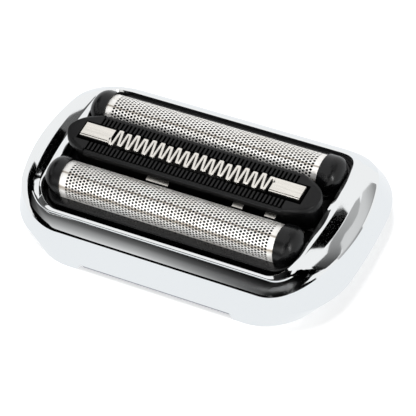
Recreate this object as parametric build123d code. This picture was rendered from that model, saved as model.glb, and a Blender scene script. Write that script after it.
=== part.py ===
from build123d import *
import os
from math import sqrt

# Shaver foil head: a chrome frame round a black cassette with two arched foils and a raised middle trimmer.
# Millimetres, +Z up, origin in the middle of the foot plane. X runs along the foils, Y across them.

# Clearances
float_gap = 0.3          # between floating units, cutters and what they pass
seat_gap = 0.07          # round a sheet that sits in its frame
wall_fit = 0.1           # between the chassis wall and the shell's opening
blade_gap = 0.2          # between a foil and the cutter blades that run under it
strip_gap = 0.15         # between the trimmer strip and the blade that runs under it

# Foils
foil_length = 41.8       # visible between the end caps
foil_radius = 3.35       # outside of the arch
foil_flank = 0.78        # straight flank that shows below the arch
foil_sheet = 0.15        # thickness
foil_tuck = 0.4          # length hidden under each end cap

# Foil frames
inner_rail = 0.8         # rail thickness beside the trimmer
outer_rail = 1.6         # rail thickness beside the chrome frame
rail_height = 1.0
cap_length = 3.65
cap_crown = 0.35         # height of the cap over the foil
cap_corner = 3.3         # plan radius of a cap's outer corners
cap_end_radius = 24.0    # plan bow of a cap's outer end
cap_dome = 2.3           # rounding of a cap's crown at its outer end
base_corner = 4.2        # plan radius of the frame's corners at rail height
rail_fillet = 0.3

# Trimmer
core_width = 6.7         # guard body between the foil frames
core_nose_radius = 3.0
core_flank_radius = 9.0
core_setback = 0.65      # core's ends behind the guard's tips
guard_width = 8.7
guard_thickness = 1.55
guard_setback = 0.57     # guard's tips from the chassis wall, beyond the floating gap
guard_nose_radius = 3.4
guard_flank_radius = 9.0
guard_bevel = 0.4
guard_stand = 1.27       # height of the strip over the foils
tooth_pitch = 0.76
tooth_slot = 0.38
tooth_slot_length = 1.5
tooth_rim = 0.73         # closed rim outside the tooth slots
tooth_slot_depth = 0.7
tooth_count = 49
strip_length = 42.8
strip_width = 2.85
strip_thickness = 0.45
pad_length = 5.77
wave_count = 19
wave_height = 3.5        # over the outside of the serpentine's turns
wave_stroke = 0.5
blade_plate = 0.25       # thickness of the moving trimmer blade
blade_slot = 0.7
blade_spine = 1.1        # solid middle of the moving trimmer blade

# Floating travel and cutter strokes
float_travel = 1.0
cutter_stroke = 1.0
trimmer_stroke = 0.75

# Chassis and retainer
floor_thickness = 1.2
chassis_wall = 0.55
chassis_wall_height = 1.4
frame_side_gap = 0.6     # between a foil frame and the chassis wall
flange_width = 1.9       # chassis flange beyond the opening's ends
flange_side = 0.7        # chassis flange beyond the opening's sides
flange_corner = 10.0
window_rib_end = 1.9     # floor between a window's end and the foil's end
retainer_thickness = 0.8
screw_diameter = 1.1
screw_head = 2.2
screw_head_height = 0.5
screw_slot = 0.35
screw_slot_depth = 0.25
screw_grip = 0.55        # shank inside the floor
screw_bore_depth = 0.9
screw_inset = 1.2        # screw axis from the retainer's edges
lug_width = 8.0
lug_thickness = 1.5
lug_drop = 2.4
lug_nose = 0.75          # latch nose beyond the lug's inner face
lug_nose_height = 1.2

# Snap legs of the floating units
leg_thickness = 1.2
leg_width = 2.8
leg_catch = 0.75         # catch beyond the leg, under the floor
leg_catch_height = 0.9
catch_play = 0.15        # between a catch and the floor that stops it
leg_inset = 0.35         # leg's outer face from the end of its unit
guard_leg_inset = 1.33
spring_sheet = 0.15
spring_foot = 0.3        # length of a spring's foot on the floor
spring_width = 1.0
spring_span = 5.0
spring_inset = 0.35      # spring from the inner side of its leg

# Cutters
cutter_length = 31.1     # row of blades and its holder
blade_count = 19
blade_thickness = 0.3
blade_depth = 1.1        # radial width of a blade's arch
saddle_flat = 0.9        # half width of the flat on top of the saddle
saddle_rise = 1.65       # of that flat over the foil axis
holder_rail = 0.65       # thickness of the flange that keeps a cutter in
holder_flange = 0.45     # flange beyond the post, over the retainer's edge
post_width = 3.2
post_length = 14.0
post_drop = 1.1          # post below the chassis floor
socket_length = 5.0
socket_width = 1.6
socket_depth = 1.5

# Chrome frame: what each step adds at the ends and the sides, and how far it drops
opening_corner = 5.0
opening_end_radius = 60.0
rim_flat = 0.4
ledge_end = 2.8
ledge_side = 0.4
ledge_drop = 0.6         # on the long sides
ledge_end_fall = 0.55    # ledge lower still at the ends
ledge_corner = 5.5
ledge_end_radius = 26.0
dome_end = 2.41
dome_side = 3.19
dome_drop = 1.41         # on the long sides
dome_bulge = 0.15        # swell of the long sides
dome_end_bulge = 0.1
dome_corner = 11.2
dome_end_radius = 22.7
crease_rise = 0.49       # height of the crease at the ends over the crease on the long sides
belly_height = 3.6       # level at which the ends of the skirt are longest
belly_end = 0.24
belly_corner = 10.6
belly_end_radius = 80.0
skirt_end = -2.21
skirt_side = 0.71
skirt_height = 7.39      # on the long sides
skirt_corner = 11.1
skirt_end_radius = 45.0
shell_wall = 1.3
shoulder_drop = 1.4      # hollow's widest level below the crease
lip_wall = 3.2           # depth of the opening
apron_end = 0.65         # slope inside the lip, from the chassis wall up to the rim, at the ends
apron_side = 0.25        # the same on the long sides
apron_gap = 0.15         # between that slope's foot and the chassis wall
apron_rim = 0.15         # upright edge of the lip above the slope
notch_length = 31.0
notch_height = 0.9
notch_slope = 0.9

# Plan places that follow
foil_half = foil_length / 2
cap_end = foil_half + cap_length
foil_y = core_width / 2 + float_gap + inner_rail + seat_gap + foil_radius
frame_inner = foil_radius + seat_gap + inner_rail
frame_outer = foil_radius + seat_gap + outer_rail
end_bow = foil_y ** 2 / (2 * opening_end_radius)
opening_half = cap_end + float_gap + chassis_wall + wall_fit + end_bow
opening_side = foil_y + frame_outer + frame_side_gap + chassis_wall + wall_fit
guard_tip = opening_half - wall_fit - chassis_wall - float_gap - guard_setback
window_half = foil_half - window_rib_end
strip_half = strip_length / 2
wave_half = strip_half - pad_length

# Heights that follow
crease_z = skirt_height
ledge_z = crease_z + dome_drop
lip_z = ledge_z + ledge_drop
floor_top = lip_z - lip_wall
floor_bottom = floor_top - floor_thickness
frame_bottom = floor_top + float_travel + float_gap
rail_top = frame_bottom + rail_height
axis_z = rail_top + foil_flank
strip_top = axis_z + foil_radius + guard_stand
guard_top = strip_top - strip_thickness
guard_bottom = guard_top - guard_thickness
retainer_bottom = floor_bottom - retainer_thickness
flange_bottom = floor_bottom + float_travel + float_gap
flange_top = flange_bottom + holder_rail
post_bottom = floor_bottom - post_drop


def corner_edge(first, middle, last, first_way, last_way):
    """Round corner: an arc, or a curve in space where its two ends differ in height."""
    if first.Z == last.Z:
        return ThreePointArc(first, middle, last)
    return Spline(first, middle, last, tangents=[first_way, last_way])


def outline_edges(half_length, half_width, end_radius, corner_radius, end_z, side_z):
    """Closed outline with bowed ends at end_z, straight sides at side_z and round corners, all tangent."""
    end_x = half_length - end_radius
    rise = half_width - corner_radius
    side = 1 if end_radius > corner_radius else -1
    corner_x = end_x + side * sqrt((end_radius - corner_radius) ** 2 - rise ** 2)
    centre = Vector(corner_x, rise, (end_z + side_z) / 2)
    reach = Vector(corner_x - end_x, rise).normalized() * side
    joint = Vector(end_x, 0, end_z) + reach * end_radius
    middle = centre + (reach + Vector(0, 1)).normalized() * corner_radius
    tip = Vector(half_length, 0, end_z)
    top = Vector(corner_x, half_width, side_z)
    mirror_x = lambda p: Vector(-p.X, p.Y, p.Z)
    mirror_y = lambda p: Vector(p.X, -p.Y, p.Z)
    turn = lambda p: Vector(-p.X, -p.Y, p.Z)
    left = Vector(-1, 0)
    up = Vector(-reach.Y, reach.X)
    return [
        ThreePointArc(mirror_y(joint), tip, joint),
        corner_edge(joint, middle, top, up, left),
        Line(top, mirror_x(top)),
        corner_edge(mirror_x(top), mirror_x(middle), mirror_x(joint), left, mirror_y(up)),
        ThreePointArc(mirror_x(joint), mirror_x(tip), turn(joint)),
        corner_edge(turn(joint), turn(middle), turn(top), turn(up), turn(left)),
        Line(turn(top), mirror_y(top)),
        corner_edge(mirror_y(top), mirror_y(middle), mirror_y(joint), turn(left), mirror_x(up)),
    ]


def outline(half_length, half_width, end_radius, corner_radius, z):
    """Level face inside such an outline."""
    return make_face(outline_edges(half_length, half_width, end_radius, corner_radius, z, z))


def block(x0, x1, y0, y1, z0, z1):
    """Upright box between two corners."""
    size = Box(x1 - x0, y1 - y0, z1 - z0)
    return Pos((x0 + x1) / 2, (y0 + y1) / 2, (z0 + z1) / 2) * size


def arch(radius, foot_z, x0, x1):
    """Solid arch along X about the foil axis, with straight flanks down to foot_z, at y = 0."""
    left = Vector(x0, -radius, axis_z)
    right = Vector(x0, radius, axis_z)
    profile = [
        ThreePointArc(left, Vector(x0, 0, axis_z + radius), right),
        Line(right, Vector(x0, radius, foot_z)),
        Line(Vector(x0, radius, foot_z), Vector(x0, -radius, foot_z)),
        Line(Vector(x0, -radius, foot_z), left),
    ]
    return extrude(make_face(profile), x1 - x0, dir=(1, 0, 0))


def both_ends(piece):
    """The piece and its mirror image at the other end of the foils."""
    return [piece, mirror(piece, Plane.YZ)]


def chrome_shell():
    """Plated frame: skirt, domed shoulder, end ledges and lip round the opening, hollow from below."""
    ledge_half = opening_half + rim_flat + ledge_end
    ledge_width = opening_side + rim_flat + ledge_side
    crease_half = ledge_half + dome_end
    crease_width = ledge_width + dome_side
    foot_half = crease_half + skirt_end
    foot_width = crease_width + skirt_side
    belly_width = foot_width - skirt_side * belly_height / skirt_height
    crease_end_z = crease_z + crease_rise
    ledge_end_z = ledge_z - ledge_end_fall
    swell = [
        (ledge_half + crease_half) / 2,
        (ledge_width + crease_width) / 2 + dome_bulge,
        (ledge_end_radius + dome_end_radius) / 2,
        (ledge_corner + dome_corner) / 2,
        (ledge_end_z + crease_end_z) / 2 + dome_end_bulge,
        (ledge_z + crease_z) / 2 + dome_bulge,
    ]
    levels = [
        outline_edges(foot_half, foot_width, skirt_end_radius, skirt_corner, 0, 0),
        outline_edges(
            crease_half + belly_end, belly_width, belly_end_radius, belly_corner, belly_height, belly_height
        ),
        outline_edges(crease_half, crease_width, dome_end_radius, dome_corner, crease_end_z, crease_z),
        outline_edges(*swell),
        outline_edges(ledge_half, ledge_width, ledge_end_radius, ledge_corner, ledge_end_z, ledge_z),
        outline_edges(
            opening_half + rim_flat, opening_side + rim_flat, opening_end_radius, opening_corner, lip_z, lip_z
        ),
    ]
    outside = Solid.make_loft([Wire(edges) for edges in levels], ruled=True)

    inner_half = foot_half - shell_wall
    inner_foot = outline(inner_half, foot_width - shell_wall, skirt_end_radius, skirt_corner, 0)
    shoulder_z = crease_z - shoulder_drop
    shoulder = outline(inner_half, crease_width - shell_wall, skirt_end_radius, flange_corner, shoulder_z)
    seat = outline(
        opening_half + flange_width + wall_fit,
        opening_side + flange_side + wall_fit,
        opening_end_radius,
        flange_corner,
        floor_top,
    )
    hollow = loft([inner_foot, shoulder], ruled=True) + loft([shoulder, seat], ruled=True)
    opening_size = [opening_half, opening_side, opening_end_radius, opening_corner]
    apron_z = floor_top + chassis_wall_height + apron_gap
    rim_z = lip_z - apron_rim
    apron = outline(
        opening_half - apron_end, opening_side - apron_side, opening_end_radius, opening_corner, apron_z
    )
    hollow += extrude(outline(*opening_size, floor_top), apron_z - floor_top)
    hollow += loft([apron, outline(*opening_size, rim_z)], ruled=True)
    hollow += extrude(outline(*opening_size, rim_z), apron_rim)

    half = notch_length / 2
    notch_profile = Polyline(
        (-half, 0), (half, 0), (half - notch_slope, notch_height), (-half + notch_slope, notch_height), close=True
    )
    notch = extrude(Plane.XZ * make_face(notch_profile), foot_width + shell_wall, both=True)
    return outside - hollow - notch


def snap_leg(outer_x, y):
    """Leg at the right-hand end, through the floor, with a catch that stops the unit's upward travel."""
    inner_x = outer_x - leg_thickness
    catch_top = floor_bottom - catch_play
    leg = block(inner_x, outer_x, y - leg_width / 2, y + leg_width / 2, catch_top - leg_catch_height, frame_bottom)
    catch = block(
        outer_x, outer_x + leg_catch, y - leg_width / 2, y + leg_width / 2, catch_top - leg_catch_height, catch_top
    )
    return leg + catch


def leg_slot(outer_x, y):
    """Clearance slot for a snap leg in the chassis floor."""
    half = leg_width / 2 + float_gap
    return block(outer_x - leg_thickness - float_gap, outer_x + float_gap, y - half, y + half, floor_bottom, floor_top)


foil_leg_x = cap_end - leg_inset - leg_catch
guard_leg_x = guard_tip - guard_leg_inset


def cassette_chassis():
    """Black floor with three cutter windows and six leg slots, a low wall, a flange and two latch lugs."""
    flange = outline(
        opening_half + flange_width, opening_side + flange_side, opening_end_radius, flange_corner, floor_bottom
    )
    body = extrude(flange, floor_thickness)
    wall_half = opening_half - wall_fit
    wall_side = opening_side - wall_fit
    wall = extrude(
        outline(wall_half, wall_side, opening_end_radius, opening_corner, floor_top), chassis_wall_height
    )
    room = outline(
        wall_half - chassis_wall, wall_side - chassis_wall, opening_end_radius, opening_corner, floor_top
    )
    body += wall - extrude(room, chassis_wall_height)
    window_width = post_width / 2 + holder_flange + float_gap
    for y in (-foil_y, 0, foil_y):
        body -= block(-window_half, window_half, y - window_width, y + window_width, floor_bottom, floor_top)
    slots = [leg_slot(foil_leg_x, -foil_y), leg_slot(foil_leg_x, foil_y), leg_slot(guard_leg_x, 0)]
    for slot in slots:
        body -= both_ends(slot)
    body -= [Pos(x, y, floor_bottom) * screw_bore() for x, y in screw_places()]
    lug_x = opening_half + flange_width - lug_thickness
    lug = block(lug_x, lug_x + lug_thickness, -lug_width / 2, lug_width / 2, floor_bottom - lug_drop, floor_bottom)
    nose = Polyline(
        (lug_x, floor_bottom - lug_drop),
        (lug_x, floor_bottom - lug_drop + lug_nose_height),
        (lug_x - lug_nose, floor_bottom - lug_drop + lug_nose_height),
        close=True,
    )
    lug += extrude(Plane.XZ * make_face(nose), lug_width / 2, both=True)
    return body + both_ends(lug)


retainer_half = window_half + window_rib_end
retainer_side = opening_side - wall_fit - chassis_wall


def screw_places():
    """Screw axes at the retainer's four corners."""
    x = retainer_half - screw_inset
    y = retainer_side - screw_inset
    return [(sx * x, sy * y) for sx in (-1, 1) for sy in (-1, 1)]


def screw_bore():
    """Pilot hole for a retainer screw, up into the floor."""
    return Cylinder(screw_diameter / 2, screw_bore_depth, align=(Align.CENTER, Align.CENTER, Align.MIN))


def cutter_retainer():
    """Plate screwed under the floor, with three windows narrower than the cutters' flanges."""
    plate = block(-retainer_half, retainer_half, -retainer_side, retainer_side, retainer_bottom, floor_bottom)
    plate = fillet(plate.edges().filter_by(Axis.Z), screw_inset)
    opening_width = post_width / 2 + float_gap
    opening_length = post_length / 2 + cutter_stroke + float_gap
    for y in (-foil_y, 0, foil_y):
        plate -= block(
            -opening_length, opening_length, y - opening_width, y + opening_width, retainer_bottom, floor_bottom
        )
    hole = Cylinder(screw_diameter / 2 + seat_gap, retainer_thickness, align=(Align.CENTER, Align.CENTER, Align.MIN))
    return plate - [Pos(x, y, retainer_bottom) * hole for x, y in screw_places()]


def retainer_screws():
    """Four pan-head screws, driven up through the retainer into the floor."""
    low = (Align.CENTER, Align.CENTER, Align.MIN)
    shank_length = retainer_thickness + screw_grip
    head = Pos(0, 0, -screw_head_height) * Cylinder(screw_head / 2, screw_head_height, align=low)
    screw = head + Cylinder(screw_diameter / 2, shank_length, align=low)
    screw -= Pos(0, 0, -screw_head_height) * Box(screw_head, screw_slot, screw_slot_depth, align=low)
    return Compound([Pos(x, y, retainer_bottom) * screw for x, y in screw_places()])


def rounded_cap():
    """Right-hand end of a foil frame: an arch with a rounded crown and a bowed end in plan."""
    radius = foil_radius + cap_crown
    cap = arch(radius, frame_bottom, foil_half, cap_end)
    cap = fillet(cap.faces().sort_by(Axis.X)[-1].edges().sort_by(Axis.Z)[-1], cap_dome)
    plan = outline(cap_end, radius, cap_end_radius, cap_corner, frame_bottom)
    return cap & extrude(plan, strip_top)


def foil_frame(side):
    """Carrier of one foil: rails, two domed end caps and two snap legs. side is -1 in front, 1 at the rear."""
    low_y = -frame_outer if side < 0 else -frame_inner
    high_y = frame_inner if side < 0 else frame_outer
    base = block(-cap_end, cap_end, low_y, high_y, frame_bottom, rail_top)
    base = fillet(base.edges().filter_by(Axis.Z), base_corner)
    base = fillet(base.edges().group_by(Axis.Z)[-1], rail_fillet)
    body = base + both_ends(rounded_cap())
    tuck = foil_half + foil_tuck + seat_gap
    body -= arch(foil_radius + seat_gap, frame_bottom, -tuck, tuck)
    return Pos(0, side * foil_y, 0) * (body + both_ends(snap_leg(foil_leg_x, 0)))


def foil(side):
    """Arched steel sheet of one foil, its ends under the caps and its flanks between the rails."""
    length = foil_half + foil_tuck
    sheet = arch(foil_radius, frame_bottom, -length, length)
    sheet -= arch(foil_radius - foil_sheet, frame_bottom, -length, length)
    return Pos(0, side * foil_y, 0) * sheet


def bow_spring(inner_x, y):
    """Bow spring at the right-hand end, on the floor, with its crown under the unit that it lifts."""
    height = frame_bottom - floor_top
    half = spring_span / 2
    outer = ThreePointArc((y - half, floor_top), (y, floor_top + height), (y + half, floor_top))
    inner_half = half - spring_foot
    inner = ThreePointArc(
        (y + inner_half, floor_top), (y, floor_top + height - spring_sheet), (y - inner_half, floor_top)
    )
    feet = [
        Line((y + half, floor_top), (y + inner_half, floor_top)),
        Line((y - inner_half, floor_top), (y - half, floor_top)),
    ]
    band = make_face([outer, feet[0], inner, feet[1]])
    return Pos(inner_x, 0, 0) * extrude(Plane.YZ * band, spring_width)


def trimmer_guard():
    """Boat-shaped guard: comb teeth on both long sides, an open slot under the comb, a core and snap legs."""
    plan = outline(guard_tip, guard_width / 2, guard_nose_radius, guard_flank_radius, guard_bottom)
    top = extrude(plan, guard_thickness)
    top = chamfer(top.edges().group_by(Axis.Z)[-1], guard_bevel)
    top = chamfer(top.edges().group_by(Axis.Z)[0], guard_bevel)
    first = -tooth_pitch * (tooth_count - 1) / 2
    reach = guard_width / 2 - tooth_rim
    slots = []
    for i in range(tooth_count):
        x = first + i * tooth_pitch
        for y0, y1 in ((reach - tooth_slot_length, reach), (-reach, tooth_slot_length - reach)):
            z0 = guard_top - tooth_slot_depth
            slots.append(block(x - tooth_slot / 2, x + tooth_slot / 2, y0, y1, z0, guard_top))
    top -= slots
    core = outline(guard_tip - core_setback, core_width / 2, core_nose_radius, core_flank_radius, frame_bottom)
    body = top + extrude(core, guard_bottom - frame_bottom)
    room_width = wave_height / 2 + blade_gap
    room_half = wave_half + strip_gap
    body -= block(-room_half, room_half, -room_width, room_width, frame_bottom, guard_top)
    return body + both_ends(snap_leg(guard_leg_x, 0))


def trimmer_comb():
    """Steel strip: a flat pad at each end and a serpentine of straight runs and round turns between them."""
    half_pitch = wave_half / wave_count
    turn_radius = half_pitch / 2
    run_end = wave_height / 2 - wave_stroke / 2 - turn_radius
    ring = Circle(turn_radius + wave_stroke / 2) - Circle(turn_radius - wave_stroke / 2)
    cup = ring & Pos(0, turn_radius) * Rectangle(4 * turn_radius, 2 * turn_radius)
    runs = 2 * wave_count
    pieces = []
    for i in range(runs):
        x = -wave_half + turn_radius + i * half_pitch
        up = 1 if i % 2 == 0 else -1
        first = -run_end if i else 0
        last = run_end if i < runs - 1 else 0
        low = min(up * first, up * last)
        high = max(up * first, up * last)
        pieces.append(Pos(x, (low + high) / 2) * Rectangle(wave_stroke, high - low))
        if i < runs - 1:
            turn = cup if up > 0 else mirror(cup, Plane.XZ)
            pieces.append(Pos(x + turn_radius, up * run_end) * turn)
    pads = []
    for end in (-1, 1):
        pads.append(Pos(end * (strip_half - pad_length / 2), 0) * Rectangle(pad_length, strip_width))
        pads.append(Pos(end * (wave_half - turn_radius), 0) * Rectangle(2 * turn_radius, wave_stroke))
    sketch = pads[0] + pads[1:] + pieces
    return extrude(Pos(0, 0, guard_top) * sketch, strip_thickness)


def trimmer_blade():
    """Slotted blade that swings under the comb."""
    half = wave_half - trimmer_stroke - float_gap
    half_width = strip_width / 2
    top = guard_top - strip_gap
    plate = block(-half, half, -half_width, half_width, top - blade_plate, top)
    pitch = 2 * wave_half / wave_count
    slot_count = wave_count - 2
    slots = []
    for i in range(slot_count):
        x = (i - (slot_count - 1) / 2) * pitch
        for y0, y1 in ((-half_width, -blade_spine / 2), (blade_spine / 2, half_width)):
            slots.append(block(x - blade_slot / 2, x + blade_slot / 2, y0, y1, top - blade_plate, top))
    return plate - slots


def drive_post(y):
    """Post under a cutter's flange, with the socket that the shaver's drive pin enters."""
    half = post_width / 2
    post = block(-post_length / 2, post_length / 2, y - half, y + half, post_bottom, flange_bottom)
    socket = block(
        -socket_length / 2, socket_length / 2, y - socket_width / 2, y + socket_width / 2,
        post_bottom, post_bottom + socket_depth,
    )
    return post - socket


def holder_flange_bar(y, half_length):
    """Flange that lies over the retainer's edges and keeps a cutter in the cassette."""
    half = post_width / 2 + holder_flange
    return block(-half_length, half_length, y - half, y + half, flange_bottom, flange_top)


holder_half = cutter_length / 2
saddle_radius = foil_radius - foil_sheet - blade_gap - blade_depth


def trimmer_carrier():
    """Slider under the trimmer blade."""
    half = post_width / 2 - seat_gap
    web_top = guard_top - strip_gap - blade_plate
    web = block(-post_length / 2, post_length / 2, -half, half, flange_top, web_top)
    return drive_post(0) + holder_flange_bar(0, post_length / 2 + trimmer_stroke) + web


def saddle(foot_z, x0, x1):
    """Roof-shaped bar along X that the blades sit astride, at y = 0."""
    profile = Polyline(
        (x0, -saddle_radius, foot_z),
        (x0, -saddle_radius, axis_z),
        (x0, -saddle_flat, axis_z + saddle_rise),
        (x0, saddle_flat, axis_z + saddle_rise),
        (x0, saddle_radius, axis_z),
        (x0, saddle_radius, foot_z),
        close=True,
    )
    return extrude(make_face(profile.edges()), x1 - x0, dir=(1, 0, 0))


def cutter_holder(side):
    """Slider of one foil's cutter: drive post, flange and a saddle for the blades."""
    body = drive_post(0) + holder_flange_bar(0, holder_half)
    body += saddle(flange_top, -holder_half, holder_half)
    return Pos(0, side * foil_y, 0) * body


def cutter_blades(side):
    """Row of thin arched blades that sit astride the holder's saddle."""
    pitch = (2 * holder_half - blade_thickness) / (blade_count - 1)
    arch_blade = arch(saddle_radius + blade_depth, frame_bottom, 0, blade_thickness)
    arch_blade -= saddle(frame_bottom, 0, blade_thickness)
    places = [-holder_half + i * pitch for i in range(blade_count)]
    return Compound([Pos(x, side * foil_y, 0) * arch_blade for x in places])


nodes = {
    "chrome_shell": chrome_shell(),
    "cassette_chassis": cassette_chassis(),
    "cutter_retainer": cutter_retainer(),
    "retainer_screws": retainer_screws(),
    "trimmer_guard": trimmer_guard(),
    "trimmer_comb": trimmer_comb(),
    "trimmer_blade": trimmer_blade(),
    "trimmer_carrier": trimmer_carrier(),
}
for name, side in (("front", -1), ("rear", 1)):
    nodes[name + "_foil_frame"] = foil_frame(side)
    nodes[name + "_foil"] = foil(side)
    nodes[name + "_cutter_holder"] = cutter_holder(side)
    nodes[name + "_cutter_blades"] = cutter_blades(side)

spring_x = {
    "front_foil": (foil_leg_x - leg_thickness - spring_inset - spring_width, -foil_y),
    "rear_foil": (foil_leg_x - leg_thickness - spring_inset - spring_width, foil_y),
    "trimmer": (guard_leg_x - leg_thickness - spring_inset - spring_width, 0),
}
for name, (inner_x, y) in spring_x.items():
    right, left = both_ends(bow_spring(inner_x, y))
    nodes[name + "_spring_left"] = left
    nodes[name + "_spring_right"] = right

os.makedirs("parts", exist_ok=True)
for name, solid in nodes.items():
    export_step(solid, "parts/" + name + ".step")
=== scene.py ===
from math import atan2, cos, pi, radians, sin, sqrt

import bmesh
import bpy
from mathutils import Matrix, Vector


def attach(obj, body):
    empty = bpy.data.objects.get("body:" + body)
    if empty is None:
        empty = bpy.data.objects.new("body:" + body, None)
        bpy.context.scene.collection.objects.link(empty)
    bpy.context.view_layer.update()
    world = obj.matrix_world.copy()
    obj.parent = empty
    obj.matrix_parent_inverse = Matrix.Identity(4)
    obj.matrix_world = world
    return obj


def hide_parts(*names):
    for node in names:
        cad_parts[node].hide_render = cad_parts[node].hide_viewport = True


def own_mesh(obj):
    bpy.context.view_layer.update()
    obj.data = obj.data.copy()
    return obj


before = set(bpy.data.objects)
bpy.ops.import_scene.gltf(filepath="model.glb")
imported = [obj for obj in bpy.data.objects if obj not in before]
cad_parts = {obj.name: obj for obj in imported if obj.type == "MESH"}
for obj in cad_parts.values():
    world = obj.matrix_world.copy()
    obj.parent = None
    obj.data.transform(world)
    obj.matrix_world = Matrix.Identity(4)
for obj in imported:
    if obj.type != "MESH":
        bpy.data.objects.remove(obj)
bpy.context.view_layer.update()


# ---------------------------------------------------------------- chrome frame
# The plated frame round the cassette: a flared skirt, a domed shoulder and a raised lip round the opening.
# One ABS moulding, hollow from below, copper and nickel plated and finished in bright chrome.
# The lip is a saddle, higher at the ends than along the sides, and each long foot edge has a low notch.

mm = 0.001

# Steps along a quarter outline, and the notch in the foot.
END_STEPS = 22
CORNER_STEPS = 32
NOTCH_HALF = 15.5
NOTCH_FLAT = 14.6
NOTCH_HEIGHT = 0.9
SIDE_X = [16.0, NOTCH_HALF, NOTCH_FLAT, 12.0, 9.0, 6.0, 3.0, 0.0]

# Outlines from the foot up the outside and down the inside, in millimetres:
# half length, half width, radius of the bowed end, radius of the corner.
FOOT = (29.8, 18.95, 37.7, 11.5)
BELLY = (32.4, 17.6, 78.9, 11.5)
CREASE = (31.5, 16.612, 29.1, 10.66)
LEDGE = (28.4, 14.5, 40.0, 6.0)
LIP = (25.95, 14.0, 85.0, 4.8)
OPENING = (25.58, 13.908, 85.0, 4.6)
APRON = (24.8, 13.88, 400.0, 4.6)
POCKET = (26.016, 14.14, 60.0, 5.0)
SEAT = (28.016, 14.94, 60.0, 10.0)
SHOULDER = (28.6, 15.2, 45.0, 10.0)
INNER_FOOT = (28.5, 17.65, 45.0, 11.1)

# Their heights; the upper ones differ between the ends and the sides.
BELLY_Z = 3.2
CREASE_END_Z, CREASE_SIDE_Z = 8.416, 5.661
LEDGE_END_Z, LEDGE_SIDE_Z = 9.55, 7.73
LIP_END_Z, LIP_SIDE_Z = 10.1, 8.244
APRON_END_Z, APRON_SIDE_Z = 9.78, 7.9
POCKET_Z = 7.75
FLOOR_TOP = 6.2
SHOULDER_Z = 4.9
DOME_SIDE_BULGE, DOME_END_BULGE = 0.21, 0.04
DOME_STEPS = 14
BEVEL_IN = 0.24
BEVEL_SIDE_UP, BEVEL_END_UP = 0.40, 0.15

# Section from the lip to the ledge: the shares of the way out and of the way down at the sides,
# and one share for both at the ends.
LIP_SECTION = (
    (0.0, 0.0, 0.01), (0.6, 0.08, 0.2), (0.75, 0.12, 0.4), (0.87, 0.2, 0.55), (0.95, 0.33, 0.7),
    (0.985, 0.5, 0.85), (1.0, 0.98, 0.98),
)

# Share of the way up the skirt at which a ring keeps the foot's edge crisp.
FOOT_EDGE = 0.04


def outline(half_length, half_width, end_radius, corner_radius, end_z, side_z):
    """Points of a quarter of an outline, from the middle of the right end to the middle of the far side."""
    end_x = half_length - end_radius
    rise = half_width - corner_radius
    way = 1 if end_radius > corner_radius else -1
    corner_x = end_x + way * sqrt((end_radius - corner_radius) ** 2 - rise ** 2)
    joint = atan2(way * rise, way * (corner_x - end_x))
    points = []
    for i in range(END_STEPS):
        turn = joint * i / END_STEPS
        points.append((end_x + end_radius * cos(turn), end_radius * sin(turn), end_z))
    for i in range(CORNER_STEPS):
        share = i / CORNER_STEPS
        turn = joint + (pi / 2 - joint) * share
        blend = share * share * (3 - 2 * share)
        z = end_z + (side_z - end_z) * blend
        points.append((corner_x + corner_radius * cos(turn), rise + corner_radius * sin(turn), z))
    points.append((corner_x, half_width, side_z))
    for x in SIDE_X:
        points.append((x, half_width, side_z))
    return points


def between(ring_a, ring_b, share):
    """Outline at a share of the way between two outlines."""
    return [tuple(p + (q - p) * share for p, q in zip(a, b)) for a, b in zip(ring_a, ring_b)]


def level(size, z):
    return outline(*size, z, z)


def side_weights():
    """For each point of a quarter outline: 0 along the end, 1 along the side, smooth round the corner."""
    corner = [i / CORNER_STEPS for i in range(CORNER_STEPS)]
    return [0.0] * END_STEPS + [t * t * (3 - 2 * t) for t in corner] + [1.0] * (1 + len(SIDE_X))


def slope_rings(lip, ledge):
    """From the lip down to the ledge: flat with a tight round edge along the sides, one facet at the ends."""
    rings = []
    for side_share, side_drop, end_share in LIP_SECTION:
        side_z = LIP_SIDE_Z + (LEDGE_SIDE_Z - LIP_SIDE_Z) * side_drop
        end_z = LIP_END_Z + (LEDGE_END_Z - LIP_END_Z) * end_share
        ring = []
        for a, b, side in zip(lip, ledge, side_weights()):
            share = end_share + (side_share - end_share) * side
            x, y = a[0] + (b[0] - a[0]) * share, a[1] + (b[1] - a[1]) * share
            ring.append((x, y, end_z + (side_z - end_z) * side))
        rings.append(ring)
    return rings


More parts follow.
